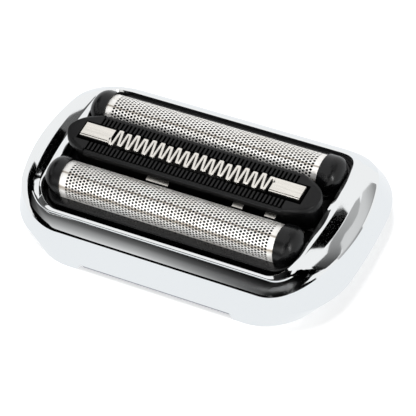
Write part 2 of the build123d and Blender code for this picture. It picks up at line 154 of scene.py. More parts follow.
def frame_rings():
    """Quarter outlines round the section of the wall; shares close to 0 or 1 hold an edge crisp."""
    foot = level(FOOT, 0.0)
    belly = level(BELLY, BELLY_Z)
    crease = outline(*CREASE, CREASE_END_Z, CREASE_SIDE_Z)
    inner = [size - BEVEL_IN for size in CREASE]
    brow = outline(*inner, CREASE_END_Z + BEVEL_END_UP, CREASE_SIDE_Z + BEVEL_SIDE_UP)
    ledge = outline(*LEDGE, LEDGE_END_Z, LEDGE_SIDE_Z)
    lip = outline(*LIP, LIP_END_Z, LIP_SIDE_Z)
    opening = outline(*OPENING, LIP_END_Z, LIP_SIDE_Z)
    apron = outline(*APRON, APRON_END_Z, APRON_SIDE_Z)
    rings = [foot, between(foot, belly, FOOT_EDGE), between(foot, belly, 0.5), belly]
    rings += [between(belly, crease, 0.5), between(belly, crease, 0.98), crease]
    rings += [between(crease, brow, 0.1), between(crease, brow, 0.9)]
    for i in range(DOME_STEPS, -1, -1):
        share = i / DOME_STEPS
        ring = []
        for (x, y, z), side in zip(between(ledge, brow, share), side_weights()):
            bulge = DOME_END_BULGE + (DOME_SIDE_BULGE - DOME_END_BULGE) * side
            ring.append((x, y, z + 4 * share * (1 - share) * bulge))
        rings.append(ring)
    rings += reversed(slope_rings(lip, ledge))
    rings += [between(lip, opening, 0.2), between(lip, opening, 0.9), between(opening, apron, 0.05)]
    rings += [between(opening, apron, 0.95), apron, level(APRON, POCKET_Z)]
    rings += [level(POCKET, POCKET_Z), level(POCKET, FLOOR_TOP)]
    rings += [level(SEAT, FLOOR_TOP), level(SHOULDER, SHOULDER_Z), level(INNER_FOOT, 0.0)]
    return rings


def whole_ring(quarter):
    """All four quarters of an outline, counter-clockwise from the middle of the right end."""
    right_far = quarter
    left_far = [(-x, y, z) for x, y, z in reversed(quarter[1:-1])]
    half = right_far + left_far + [(-quarter[0][0], quarter[0][1], quarter[0][2])]
    near = [(x, -y, z) for x, y, z in reversed(half[1:-1])]
    return half + near


def notched(ring, above):
    """The foot's points lifted along the skirt wherever the notch runs."""
    points = []
    for low, high in zip(ring, above):
        if abs(low[0]) > NOTCH_FLAT + 0.01:
            points.append(low)
            continue
        share = (NOTCH_HEIGHT - low[2]) / (high[2] - low[2])
        points.append(tuple(p + (q - p) * share for p, q in zip(low, high)))
    return points


def make_piece(name, vertices, faces, sharp=30.0):
    """Mesh object in metres from points in millimetres; edges sharper than an angle in degrees stay sharp."""
    mesh = bpy.data.meshes.new(name)
    mesh.from_pydata([Vector(v) * mm for v in vertices], [], faces)
    piece = bpy.data.objects.new(name, mesh)
    bpy.context.scene.collection.objects.link(piece)
    work = bmesh.new()
    work.from_mesh(mesh)
    bmesh.ops.remove_doubles(work, verts=work.verts, dist=1e-7)
    bmesh.ops.recalc_face_normals(work, faces=work.faces)
    for edge in work.edges:
        edge.smooth = len(edge.link_faces) == 2 and edge.calc_face_angle(0) < radians(sharp)
    for face in work.faces:
        face.smooth = True
    work.to_mesh(mesh)
    work.free()
    return piece


def ring_faces(count, size):
    """Quads between successive closed rings of the same size, the last ring joined to the first."""
    faces = []
    for k in range(count):
        here = k * size
        there = (k + 1) % count * size
        for i in range(size):
            j = (i + 1) % size
            faces.append((here + i, here + j, there + j, there + i))
    return faces


rings = [whole_ring(quarter) for quarter in frame_rings()]
skirt_belly = rings[3]
rings[0] = notched(rings[0], skirt_belly)
rings[1] = between(rings[0], skirt_belly, FOOT_EDGE)
rings[-1] = notched(rings[-1], rings[-2])
ring_size = len(rings[0])
frame_points = [point for ring in rings for point in ring]
chrome_frame = make_piece("chrome_frame", frame_points, ring_faces(len(rings), ring_size), 24.0)


def colour(code):
    """Linear colour of an sRGB hex value."""
    parts = [int(code[i:i + 2], 16) / 255 for i in (1, 3, 5)]
    return tuple(c / 12.92 if c <= 0.04045 else ((c + 0.055) / 1.055) ** 2.4 for c in parts) + (1.0,)


def new_material(name):
    material = bpy.data.materials.new(name)
    material.use_nodes = True
    material.node_tree.nodes.clear()
    return material, material.node_tree


def node(tree, kind, sockets=None, stops=(), **settings):
    """One shader node with its settings and ramp stops; a socket takes a value or another node's output."""
    made = tree.nodes.new(kind)
    for key, value in settings.items():
        setattr(made, key, value)
    for key, value in (sockets or {}).items():
        if isinstance(value, bpy.types.NodeSocket):
            tree.links.new(value, made.inputs[key])
        else:
            made.inputs[key].default_value = value
    if stops:
        ramp = made.color_ramp.elements
        while len(ramp) < len(stops):
            ramp.new(1.0)
        for stop, (spot, shade) in zip(ramp, stops):
            stop.position, stop.color = spot, shade
    return made


# Bright chrome: a mirror, faintly wavy because the plate follows the moulding's slow sink marks.
chrome, tree = new_material("bright_chrome_plate")
place = node(tree, "ShaderNodeTexCoord").outputs["Object"]
waves = node(tree, "ShaderNodeTexNoise", {"Vector": place, "Scale": 1 / (5 * mm), "Detail": 1.0})
haze = node(tree, "ShaderNodeTexNoise", {"Vector": place, "Scale": 1 / (1.2 * mm), "Detail": 3.0})
polish = node(tree, "ShaderNodeMapRange", {"Value": haze.outputs["Fac"], "To Min": 0.03, "To Max": 0.07})
bend = node(tree, "ShaderNodeBump", {"Height": waves.outputs["Fac"], "Strength": 0.03, "Distance": 0.2 * mm})
plate = node(tree, "ShaderNodeBsdfPrincipled", {
    "Base Color": colour("#eceeef"), "Metallic": 1.0,
    "Roughness": polish.outputs["Result"], "Normal": bend.outputs["Normal"],
})
node(tree, "ShaderNodeOutputMaterial", {"Surface": plate.outputs["BSDF"]})

chrome_frame.data.materials.append(chrome)
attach(chrome_frame, "frame")
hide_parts("chrome_shell")


# Behind each notch a grey rib closes the skirt; its grey stands for the shadow under the notch, a painted shade.
RIB_BACK = 0.75
RIB_THICK = 0.45
RIB_TOP = 1.15
RIB_LEAN = 0.4
points, faces = [], []
for side in (-1, 1):
    base = len(points)
    for x in (-NOTCH_FLAT, NOTCH_FLAT):
        for y, z in ((FOOT[1] - RIB_BACK, 0.0), (FOOT[1] - RIB_BACK - RIB_LEAN, RIB_TOP)):
            points += [(x, side * y, z), (x, side * (y - RIB_THICK), z)]
    for face in ((0, 1, 3, 2), (4, 5, 7, 6), (0, 1, 5, 4), (2, 3, 7, 6), (0, 2, 6, 4), (1, 3, 7, 5)):
        faces.append([base + i for i in face])
notch_shade_ribs = make_piece("chrome_frame_notch_shade_ribs", points, faces)

# Matt pale grey with faint flow clouds, seen as a thin line in the notch: painted shade for the shadowed gap
# under the skirt.
notch_shade_abs, tree = new_material("notch_shade_grey_abs")
place = node(tree, "ShaderNodeTexCoord").outputs["Object"]
flow = node(tree, "ShaderNodeTexNoise", {"Vector": place, "Scale": 1 / (2 * mm), "Detail": 2.0})
pale = node(tree, "ShaderNodeValToRGB", {"Fac": flow.outputs["Fac"]}, (
    (0.3, colour("#aeb2ba")), (0.7, colour("#bec2ca")),
))
bare = node(tree, "ShaderNodeBsdfPrincipled", {"Base Color": pale.outputs["Color"], "Roughness": 0.5, "IOR": 1.5})
node(tree, "ShaderNodeOutputMaterial", {"Surface": bare.outputs["BSDF"]})
notch_shade_ribs.data.materials.append(notch_shade_abs)
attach(notch_shade_ribs, "frame")


# ---------------------------------------------------------------- chassis and retainer
# The black cassette that snaps into the frame from below: a floor with windows for the cutters, a low wall
# inside the lip, and a plate under it that keeps the cutters in. Both are injection-moulded ABS.


def black_moulding(name, base, gloss_low, gloss_high, grain, shine):
    """Black ABS from an eroded mould: uneven gloss, a fine grain (its size in mm) and scuffed paler spots."""
    material, tree = new_material(name)
    place = node(tree, "ShaderNodeTexCoord").outputs["Object"]
    erosion = node(tree, "ShaderNodeTexNoise", {"Vector": place, "Scale": 1 / (grain * mm), "Detail": 4.0})
    patches = node(tree, "ShaderNodeTexNoise", {"Vector": place, "Scale": 1 / (2.5 * mm), "Detail": 3.0})
    gloss = node(tree, "ShaderNodeMapRange", {
        "Value": patches.outputs["Fac"], "From Min": 0.3, "From Max": 0.7,
        "To Min": gloss_low, "To Max": gloss_high,
    })
    paler = [c * 1.35 for c in colour(base)[:3]] + [1.0]
    tone = node(tree, "ShaderNodeValToRGB", {"Fac": patches.outputs["Fac"]}, ((0.3, colour(base)), (0.75, paler)))
    grit = node(tree, "ShaderNodeBump", {
        "Height": erosion.outputs["Fac"], "Strength": 0.12, "Distance": 0.02 * mm,
    })
    plastic = node(tree, "ShaderNodeBsdfPrincipled", {
        "Base Color": tone.outputs["Color"], "Roughness": gloss.outputs["Result"], "IOR": 1.5,
        "Specular IOR Level": shine, "Normal": grit.outputs["Normal"],
    })
    node(tree, "ShaderNodeOutputMaterial", {"Surface": plastic.outputs["BSDF"]})
    return material


def dress(node_names, material):
    """Gives a finish to CAD nodes that keep their own shape."""
    for name in node_names:
        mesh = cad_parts[name].data
        mesh.materials.clear()
        mesh.materials.append(material)


# Satin black ABS: almost no highlight, so the inside of the cassette stays dark.
satin_abs = black_moulding("satin_black_abs", "#060607", 0.45, 0.58, 0.12, 0.25)
dress(["cassette_chassis", "cutter_retainer"], satin_abs)


# ---------------------------------------------------------------- screws and springs
# Four small screws hold the retainer; each foil unit and the trimmer stand on two bow springs.
# The screws are zinc-plated steel, the springs are cut from rolled spring strip.

# Zinc plating: a pale grey metal, dulled by a fine spangle.
zinc, tree = new_material("zinc_plated_steel")
place = node(tree, "ShaderNodeTexCoord").outputs["Object"]
spangle = node(tree, "ShaderNodeTexVoronoi", {"Vector": place, "Scale": 1 / (0.3 * mm)})
dulling = node(tree, "ShaderNodeMapRange", {"Value": spangle.outputs["Distance"], "To Min": 0.28, "To Max": 0.45})
plating = node(tree, "ShaderNodeBsdfPrincipled", {
    "Base Color": colour("#c2c4c6"), "Metallic": 1.0, "Roughness": dulling.outputs["Result"],
})
node(tree, "ShaderNodeOutputMaterial", {"Surface": plating.outputs["BSDF"]})
dress(["retainer_screws"], zinc)


def rolled_steel(name, base, across, rough_low, rough_high):
    """Bare steel with fine lines along its rolling or grinding direction; `across` stretches them."""
    material, tree = new_material(name)
    place = node(tree, "ShaderNodeTexCoord").outputs["Object"]
    stretch = node(tree, "ShaderNodeMapping", {"Vector": place, "Scale": across})
    lines = node(tree, "ShaderNodeTexNoise", {
        "Vector": stretch.outputs["Vector"], "Scale": 1 / (0.5 * mm), "Detail": 3.0,
    })
    duller = [c * 0.86 for c in colour(base)[:3]] + [1.0]
    shade = node(tree, "ShaderNodeValToRGB", {"Fac": lines.outputs["Fac"]}, ((0.3, duller), (0.7, colour(base))))
    rough = node(tree, "ShaderNodeMapRange", {
        "Value": lines.outputs["Fac"], "To Min": rough_low, "To Max": rough_high,
    })
    scratch = node(tree, "ShaderNodeBump", {
        "Height": lines.outputs["Fac"], "Strength": 0.1, "Distance": 0.01 * mm,
    })
    steel = node(tree, "ShaderNodeBsdfPrincipled", {
        "Base Color": shade.outputs["Color"], "Metallic": 1.0, "Roughness": rough.outputs["Result"],
        "Normal": scratch.outputs["Normal"],
    })
    node(tree, "ShaderNodeOutputMaterial", {"Surface": steel.outputs["BSDF"]})
    return material


# Spring strip: bright grey with soft lines across the bow.
spring_strip = rolled_steel("rolled_spring_steel", "#bdbab6", (1, 0.1, 1), 0.25, 0.4)

# A bow spring flattens when its unit is pressed down; each one is copied into a piece of its own on the frame.
for unit in ("front_foil", "rear_foil", "trimmer"):
    for end in ("left", "right"):
        name = unit + "_spring_" + end
        dress([name], spring_strip)
        spring = bpy.data.objects.new(unit + "_bow_spring_" + end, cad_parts[name].data.copy())
        bpy.context.scene.collection.objects.link(spring)
        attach(spring, "frame")
        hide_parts(name)
        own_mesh(spring)


# ---------------------------------------------------------------- cutters
# Rows of thin arched blades on acetal sliders; each slider has a socket below for the shaver's drive pin.
# The blades are ground strip steel pressed into the slider.

# Ground steel, its grey darkened as painted shade for the shade under the foils, so that the foils' holes read
# dark.
shade_darkened_blade_steel = rolled_steel("shade_darkened_ground_steel", "#8f8d8a", (0.1, 1, 1), 0.25, 0.4)
dress(["front_cutter_blades", "rear_cutter_blades"], shade_darkened_blade_steel)

# Acetal: a waxy black, a little paler than the ABS, with faint flow clouds.
acetal, tree = new_material("black_acetal")
place = node(tree, "ShaderNodeTexCoord").outputs["Object"]
flow = node(tree, "ShaderNodeTexNoise", {"Vector": place, "Scale": 1 / (3 * mm), "Detail": 2.0})
milk = node(tree, "ShaderNodeValToRGB", {"Fac": flow.outputs["Fac"]}, (
    (0.0, colour("#141414")), (1.0, colour("#1c1c1d")),
))
slider = node(tree, "ShaderNodeBsdfPrincipled", {
    "Base Color": milk.outputs["Color"], "Roughness": 0.42, "IOR": 1.48,
})
node(tree, "ShaderNodeOutputMaterial", {"Surface": slider.outputs["BSDF"]})
dress(["front_cutter_holder", "rear_cutter_holder", "trimmer_carrier"], acetal)


# ---------------------------------------------------------------- foil frames
# Black carriers, one under each foil, with a domed cap at each end and a rail along each side.
# Moulded ABS from a better polished mould than the chassis, so the caps take soft highlights.

polished_abs = black_moulding("semi_gloss_black_abs", "#050506", 0.22, 0.32, 0.2, 0.35)
dress(["front_foil_frame", "rear_foil_frame"], polished_abs)


# ---------------------------------------------------------------- foils
# Two arched sheets of electroformed nickel-steel, perforated all over except for a plain margin at each end.
# The ends are tucked under the caps and the flanks held between the rails.

FOIL_Y = 7.87
FOIL_AXIS_Z = 9.28
FOIL_RADIUS = 3.35
FOIL_FOOT_Z = 7.5
FOIL_REACH = 21.3
FOIL_SHEET = 0.06
MARGIN_STEPS = (0.5, 1.0)
COLUMN_PITCH = 0.627
COLUMN_COUNT = 63
HOLE_PITCH = 0.553
HOLE_COUNT = 21
HOLE_SIDES = 12

# Half sizes of a hole. The real ones are about 0.42 by 0.33 mm; they are drawn coarser so that they show.
HOLE_LONG = 0.255
HOLE_SHORT = 0.205

# Which points of the hole's rim each edge of its cell is joined to.
RIM_RUNS = ((-1, 0), (0, 1), (1, 5), (5, 6), (6, 7), (7, 11))


def on_arch(side, x, travel):
    """Point of the foil's outside at a distance round the arch from the middle of its crown."""
    turn = travel / FOIL_RADIUS
    if abs(turn) <= pi / 2:
        return (x, side * FOIL_Y + FOIL_RADIUS * sin(turn), FOIL_AXIS_Z + FOIL_RADIUS * cos(turn))
    drop = abs(travel) - FOIL_RADIUS * pi / 2
    return (x, side * FOIL_Y + FOIL_RADIUS * (1 if turn > 0 else -1), FOIL_AXIS_Z - drop)


def perforated_foil(side, name):
    """Foil sheet with oval holes in staggered columns, each in its own cell; the cells share corners."""
    half_x = COLUMN_COUNT * COLUMN_PITCH / 2
    half_s = HOLE_COUNT * HOLE_PITCH / 2 + HOLE_PITCH / 4
    reach_s = FOIL_RADIUS * pi / 2 + FOIL_AXIS_Z - FOIL_FOOT_Z
    points, faces, found = [], [], {}

    def point(x, s):
        key = (round(x, 4), round(s, 4))
        if key not in found:
            found[key] = len(points)
            points.append(on_arch(side, x, s))
        return found[key]

    def patch(x0, x1, s0, s1):
        faces.append([point(x0, s0), point(x1, s0), point(x1, s1), point(x0, s1)])

    lines_x = [-half_x + i * COLUMN_PITCH for i in range(COLUMN_COUNT + 1)]
    lines_s = [-half_s + i * HOLE_PITCH / 2 for i in range(2 * HOLE_COUNT + 2)]
    for column in range(COLUMN_COUNT):
        x0, x1 = lines_x[column], lines_x[column + 1]
        shift = column % 2
        for hole in range(HOLE_COUNT):
            s0, middle, s1 = lines_s[shift + 2 * hole:shift + 2 * hole + 3]
            rim = []
            for i in range(HOLE_SIDES):
                turn = 2 * pi * i / HOLE_SIDES
                rim.append(point((x0 + x1) / 2 + HOLE_LONG * cos(turn), middle + HOLE_SHORT * sin(turn)))
            edge = [(x1, s0), (x1, middle), (x1, s1), (x0, s1), (x0, middle), (x0, s0)]
            edge = [point(*corner) for corner in edge]
            for i, (a, b) in enumerate(RIM_RUNS):
                inside = [rim[j % HOLE_SIDES] for j in range(b, a - 1, -1)]
                faces.append([edge[i], edge[(i + 1) % 6]] + inside)
        spare = 0 if shift else len(lines_s) - 2
        patch(x0, x1, lines_s[spare], lines_s[spare + 1])

    margins = [half_x] + [half_x + step for step in MARGIN_STEPS] + [FOIL_REACH]
    for end in (-1, 1):
        for a, b in zip(margins, margins[1:]):
            for s0, s1 in zip(lines_s, lines_s[1:]):
                patch(end * a, end * b, s0, s1)
    all_x = [-x for x in reversed(margins[1:])] + lines_x + margins[1:]
    flanks = [half_s, (half_s + reach_s) / 2, reach_s]
    for way in (-1, 1):
        for s0, s1 in zip(flanks, flanks[1:]):
            for a, b in zip(all_x, all_x[1:]):
                patch(a, b, way * s0, way * s1)
    foil = make_piece(name, points, faces, 40.0)
    sheet = foil.modifiers.new("sheet", "SOLIDIFY")
    sheet.thickness = FOIL_SHEET * mm
    sheet.offset = -1.0
    return foil


# Electroformed foil: satin warm-white metal with slow cloudy streaks,
# and two darker lines on the front side of each foil's arch: a painted reflection of dark surroundings.
REFLECTION_BAND_HALF = 3.45
REFLECTION_BAND_DRIFT = 0.5
foil_metal, tree = new_material("electroformed_foil_steel")
place = node(tree, "ShaderNodeTexCoord").outputs["Object"]
stretch = node(tree, "ShaderNodeMapping", {"Vector": place, "Scale": (0.25, 1.0, 1.0)})
clouds = node(tree, "ShaderNodeTexNoise", {
    "Vector": stretch.outputs["Vector"], "Scale": 1 / (1.6 * mm), "Detail": 4.0, "Roughness": 0.6,
})
warm = node(tree, "ShaderNodeValToRGB", {"Fac": clouds.outputs["Fac"]}, (
    (0.3, colour("#f4f1ec")), (0.6, colour("#fffefc")),
))
across = node(tree, "ShaderNodeSeparateXYZ", {0: place}).outputs["Y"]
drift = node(tree, "ShaderNodeMath", {
    0: clouds.outputs["Fac"], 1: REFLECTION_BAND_DRIFT * mm, 2: across,
}, operation="MULTIPLY_ADD")
either = node(tree, "ShaderNodeMath", {0: drift.outputs[0], 1: 2 * FOIL_Y * mm, 2: 0.0}, operation="WRAP")
arch = node(tree, "ShaderNodeMapRange", {
    "Value": either.outputs[0], "From Min": (FOIL_Y - REFLECTION_BAND_HALF) * mm, "From Max": (FOIL_Y + REFLECTION_BAND_HALF) * mm,
})
# Painted reflection: two dark bands across each foil's arch, at fixed places on its front side.
band_free, reflected_dark = colour("#ffffff"), colour("#a89f94")
painted_reflection_bands = node(tree, "ShaderNodeValToRGB", {"Fac": arch.outputs["Result"]}, (
    (0.07, band_free), (0.11, reflected_dark), (0.15, band_free), (0.36, band_free), (0.395, reflected_dark), (0.43, band_free),
))
with_reflection_bands = node(tree, "ShaderNodeMix", {
    "Factor": 1.0, 6: warm.outputs[0], 7: painted_reflection_bands.outputs[0],
}, data_type="RGBA", blend_type="MULTIPLY")
satin = node(tree, "ShaderNodeMapRange", {"Value": clouds.outputs["Fac"], "To Min": 0.55, "To Max": 0.68})
foil_skin = node(tree, "ShaderNodeBsdfPrincipled", {
    "Base Color": with_reflection_bands.outputs[2], "Metallic": 1.0, "Roughness": satin.outputs["Result"],
})
node(tree, "ShaderNodeOutputMaterial", {"Surface": foil_skin.outputs["BSDF"]})

for side, place_word in ((-1, "front"), (1, "rear")):
    foil = perforated_foil(side, place_word + "_foil_sheet")
    foil.data.materials.append(foil_metal)
    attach(foil, place_word + "_foil_unit")
    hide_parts(place_word + "_foil")


# ---------------------------------------------------------------- trimmer guard
# The raised boat-shaped guard between the foils: comb ribs along both long edges, closed by a low rim,
# and a sunk bed for the steel comb. Moulded ABS with a core and two snap legs below.

GUARD_PLAN = (24.5, 4.35, 3.4, 9.0)
GUARD_TOP = 13.45
GUARD_BOTTOM = 11.9
RIB_PITCH = 0.76
RIB_SLOT = 0.38
RIB_COUNT = 51
SLOT_DEPTH = 1.0
SLOT_OUTER = 3.62
RIM_DROP = 0.25
BED_HALF = 1.45
BED_END = 21.45
MOAT_OUTER = 2.0
MOAT_END = 21.9
MOAT_DEPTH = 1.2
TROUGH_HALF = 15.78
TROUGH_DEPTH = 1.35
NOSE_DROP = 0.3
NOSE_FOOT = MOAT_END + 0.2
NOSE_STEPS = 25
NOSE_START = 19.6
NOSE_BLEND = 2.2
NOSE_CHAMFER = 0.42
TIP_HALF = 0.02
EDGE_ROUND = 0.35
EDGE_TURNS = (0, 22, 45, 67, 90)
LOWER_EDGE = 0.25
LOWER_TUCK = 0.95
STEP_WIDTH = 0.03


def boat_half_width(x, tip, half, nose, flank):
    """Half width of a boat-shaped plan: straight sides, long flanks and a round nose."""
    nose_x = tip - nose
    flank_x = nose_x - sqrt((flank - nose) ** 2 - (flank - half) ** 2)
    joint_x = nose_x + (nose_x - flank_x) * nose / (flank - nose)
    x = abs(x)
    if x <= flank_x:
        return half
    if x <= joint_x:
        return half - flank + sqrt(flank ** 2 - (x - flank_x) ** 2)
    return sqrt(max(0.0, nose ** 2 - (x - nose_x) ** 2))


def guard_height(x, y):
    """Height of the guard's upper face inside its edge."""
    x, y = abs(x), abs(y)
    slot_x = abs((x / RIB_PITCH + RIB_COUNT / 2) % 1.0 - 0.5) * RIB_PITCH
    ribs = x < RIB_PITCH * RIB_COUNT / 2
    if y < MOAT_OUTER and x < TROUGH_HALF:
        return GUARD_TOP - TROUGH_DEPTH
    if y < MOAT_OUTER and x < MOAT_END and not (y < BED_HALF and x < BED_END):
        return GUARD_TOP - MOAT_DEPTH
    if ribs and MOAT_OUTER <= y < SLOT_OUTER and slot_x < RIB_SLOT / 2:
        return GUARD_TOP - SLOT_DEPTH
    if ribs and y >= SLOT_OUTER:
        return GUARD_TOP - RIM_DROP
    nose = max(0.0, (x - NOSE_FOOT) / (GUARD_PLAN[0] - NOSE_FOOT))
    return GUARD_TOP - NOSE_DROP * nose


def stepped(places):
    """Grid lines on both sides of each step, so that its wall stands nearly upright."""
    lines = []
    for p in places:
        lines += [p - STEP_WIDTH / 2, p + STEP_WIDTH / 2]
    return lines


def guard_grid_x():
    first = -RIB_PITCH * RIB_COUNT / 2
    steps = [first, TROUGH_HALF, BED_END, MOAT_END]
    for i in range(RIB_COUNT):
        middle = first + (i + 0.5) * RIB_PITCH
        steps += [middle - RIB_SLOT / 2, middle + RIB_SLOT / 2]
    lines = stepped(steps + [-first, -TROUGH_HALF, -BED_END, -MOAT_END])
    for i in range(1, NOSE_STEPS + 1):
        share = 1 - (1 - i / NOSE_STEPS) ** 2
        x = NOSE_FOOT + (GUARD_PLAN[0] - NOSE_FOOT) * share
        lines += [-x, x]
    return sorted(lines)


def guard_top_mesh():
    """Upper face with ribs, slots and bed, its rounded edge, the outside wall and the underside."""
    spots = [0.0] + stepped([BED_HALF, MOAT_OUTER, SLOT_OUTER])
    bend = [(sin(radians(turn)), 1 - cos(radians(turn))) for turn in EDGE_TURNS]
    points, rows = [], []
    for x in guard_grid_x():
        half = max(TIP_HALF, boat_half_width(x, *GUARD_PLAN))
        nose = min(1.0, max(0.0, (abs(x) - NOSE_START) / NOSE_BLEND))
        drop = EDGE_ROUND + NOSE_CHAMFER * nose
        edge = (EDGE_ROUND + 2 * NOSE_CHAMFER * nose) * half / GUARD_PLAN[1]
        flat = half - edge
        section = []
        for i, y in enumerate(spots):
            room = flat * (0.9 + 0.01 * i)  # towards the tip the grid lines close up, but never meet
            section.append((min(y, room), guard_height(x, y)))
        rim_z = guard_height(x, GUARD_PLAN[1])
        section += [(flat + edge * out, rim_z - drop * down) for out, down in bend]
        section += [(half, GUARD_BOTTOM + LOWER_EDGE), (half * LOWER_TUCK, GUARD_BOTTOM)]
        near = [(-y, z) for y, z in reversed(section)]
        rows.append(range(len(points), len(points) + 2 * len(section) - 1))
        points += [(x, y, z) for y, z in near[:-1] + section]
    faces = []
    for a, b in zip(rows, rows[1:]):
        for i in range(len(a)):
            j = (i + 1) % len(a)
            faces.append((a[i], a[j], b[j], b[i]))
    faces += [list(rows[0]), list(reversed(rows[-1]))]
    return points, faces


points, faces = guard_top_mesh()
guard = make_piece("trimmer_guard_boat", points, faces, 35.0)

# The guard's ABS is a little glossier than the chassis, so that the edges of the ribs catch thin lines of light.
guard_abs = black_moulding("satin_black_guard_abs", "#060607", 0.32, 0.44, 0.15, 0.27)
guard.data.materials.append(guard_abs)
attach(guard, "trimmer_unit")
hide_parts("trimmer_guard")


def add_prism(points, faces, profile, low, high, place):
    """Prism over a profile between two levels; `place` turns (a, b, level) into a point."""
    base, size = len(points), len(profile)
    for level_at in (low, high):
        points += [place(a, b, level_at) for a, b in profile]
    faces.append([base + i for i in range(size)])
    faces.append([base + size + i for i in range(size)])
    for i in range(size):
        j = (i + 1) % size
        faces.append((base + i, base + j, base + size + j, base + size + i))


# The core under the guard: a narrower boat that fills the gap between the foil frames.
CORE_PLAN = (23.85, 3.35, 3.0, 9.0)
CORE_STEPS = 40
CORE_BOTTOM = 7.5
CORE_TOP = GUARD_BOTTOM + 0.02
plan = []
for way in (1, -1):
    for i in range(CORE_STEPS):
        x = -way * CORE_PLAN[0] * cos(pi * i / CORE_STEPS)
        plan.append((x, -way * boat_half_width(x, *CORE_PLAN)))
points, faces = [], []
add_prism(points, faces, plan, CORE_BOTTOM, CORE_TOP, lambda a, b, z: (a, b, z))
core = make_piece("trimmer_guard_core", points, faces)

# Its two legs end in catches that stop the unit under the chassis floor.
LEG_HALF = 1.4
LEG_PROFILE = [
    (21.97, 7.6), (21.97, 3.95), (23.4, 3.95), (23.92, 4.45), (23.92, 4.85), (23.17, 4.85), (23.17, 7.6),
]
points, faces = [], []
for end in (-1, 1):
    profile = [(end * x, z) for x, z in LEG_PROFILE]
    add_prism(points, faces, profile, -LEG_HALF, LEG_HALF, lambda a, b, y: (a, y, b))
legs = make_piece("trimmer_guard_legs", points, faces)


def soft_edges(piece, width):
    """Breaks the piece's edges by a width in millimetres."""
    softening = piece.modifiers.new("soft edges", "BEVEL")
    softening.width = width * mm
    softening.segments = 2
    softening.limit_method = "ANGLE"


MOULDED_EDGE = 0.15
for piece in (core, legs):
    soft_edges(piece, MOULDED_EDGE)
    piece.data.materials.append(guard_abs)
    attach(piece, "trimmer_unit")


# ---------------------------------------------------------------- trimmer comb
# A stamped steel strip on top of the guard: a flat pad at each end and a serpentine between them.
# It is stamped, ground flat on top and clipped into the guard's bed.

WAVE_HALF = 15.63
WAVE_COUNT = 19
WAVE_TIP = 1.5
WAVE_SHORT = 1.28
WAVE_TIP_FLAT = 0.44
WAVE_SHORT_FLAT = 0.52
WAVE_STROKE = 0.46
WAVE_LEAN = -0.1
WAVE_ROOT = (WAVE_HALF + 0.2, 0.4)
BEND_STEPS = 6
MITRE_LIMIT = 4.0
STRIP_HALF = 21.4
STRIP_WIDTH = 2.85
STRIP_TOP = 13.9
STRIP_BOTTOM = GUARD_TOP - 0.2
STRIP_EDGE = 0.07


def wave_corners():
    """Corners of the serpentine's middle line: pointed lobes, two in each five cut short and flat."""
    spacing = WAVE_HALF / WAVE_COUNT
    corners = [(-WAVE_ROOT[0], -WAVE_ROOT[1])]
    for i in range(2 * WAVE_COUNT):
        x = -WAVE_HALF + (i + 0.5) * spacing
        way = 1 if i % 2 else -1
        short = (i // 2) % 5 in (1, 3)
        y = way * (WAVE_SHORT if short else WAVE_TIP)
        half_flat = (WAVE_SHORT_FLAT if short else WAVE_TIP_FLAT) / 2
        corners += [(x + WAVE_LEAN * y - half_flat, y), (x + WAVE_LEAN * y + half_flat, y)]
    return corners + [WAVE_ROOT]


def ribbon(corners, stroke, top, bottom, edge):
    """Solid ribbon along a bent line: mitred inside each bend, round outside it, its upper edges broken."""
    half = stroke / 2
    left, right = [], []
    for i, (x, y) in enumerate(corners):
        ax, ay = corners[max(0, i - 1)]
        bx, by = corners[min(len(corners) - 1, i + 1)]
        before = atan2(y - ay, x - ax) if i else atan2(by - y, bx - x)
        after = atan2(by - y, bx - x) if i < len(corners) - 1 else before
        bend = (after - before + pi) % (2 * pi) - pi
        way = 1 if bend > 0 else -1
        mitre = min(half / max(0.2, cos(bend / 2)), MITRE_LIMIT * half)
        middle = before + bend / 2 + way * pi / 2
        for k in range(BEND_STEPS + 1):
            turn = before + bend * k / BEND_STEPS - way * pi / 2
            outer = (x + half * cos(turn), y + half * sin(turn), turn)
            inner = (x + mitre * cos(middle), y + mitre * sin(middle), middle)
            left.append(inner if way > 0 else outer)
            right.append(outer if way > 0 else inner)
    points, faces = [], []
    for (lx, ly, la), (rx, ry, ra) in zip(left, right):
        points += [
            (lx, ly, bottom), (lx, ly, top - edge), (lx - edge * cos(la), ly - edge * sin(la), top),
            (rx - edge * cos(ra), ry - edge * sin(ra), top), (rx, ry, top - edge), (rx, ry, bottom),
        ]
    for i in range(len(left) - 1):
        for k in range(6):
            j = (k + 1) % 6
            faces.append((6 * i + k, 6 * i + j, 6 * i + 6 + j, 6 * i + 6 + k))
    faces.append(list(range(6)))
    faces.append(list(range(len(points) - 6, len(points)))[::-1])
    return points, faces


points, faces = ribbon(wave_corners(), WAVE_STROKE, STRIP_TOP, STRIP_BOTTOM, STRIP_EDGE)
serpentine = make_piece("trimmer_comb_serpentine", points, faces, 35.0)

# Each pad is stamped with a shallow step along its front edge.
STEP_BACK = 0.25
STEP_DROP = 0.06
STEP_GAP = 0.08
points, faces = [], []
front, back = -STRIP_WIDTH / 2, STRIP_WIDTH / 2
step = (front, front + STEP_BACK, STRIP_TOP - STEP_DROP)
flat = (front + STEP_BACK + STEP_GAP, back, STRIP_TOP)
for end in (-1, 1):
    near, far = end * WAVE_HALF, end * STRIP_HALF
    for y0, y1, top in (step, flat):
        profile = [(near, y0), (far, y0), (far, y1), (near, y1)]
        add_prism(points, faces, profile, GUARD_TOP, top, lambda a, b, z: (a, b, z))
pads = make_piece("trimmer_comb_pads", points, faces)

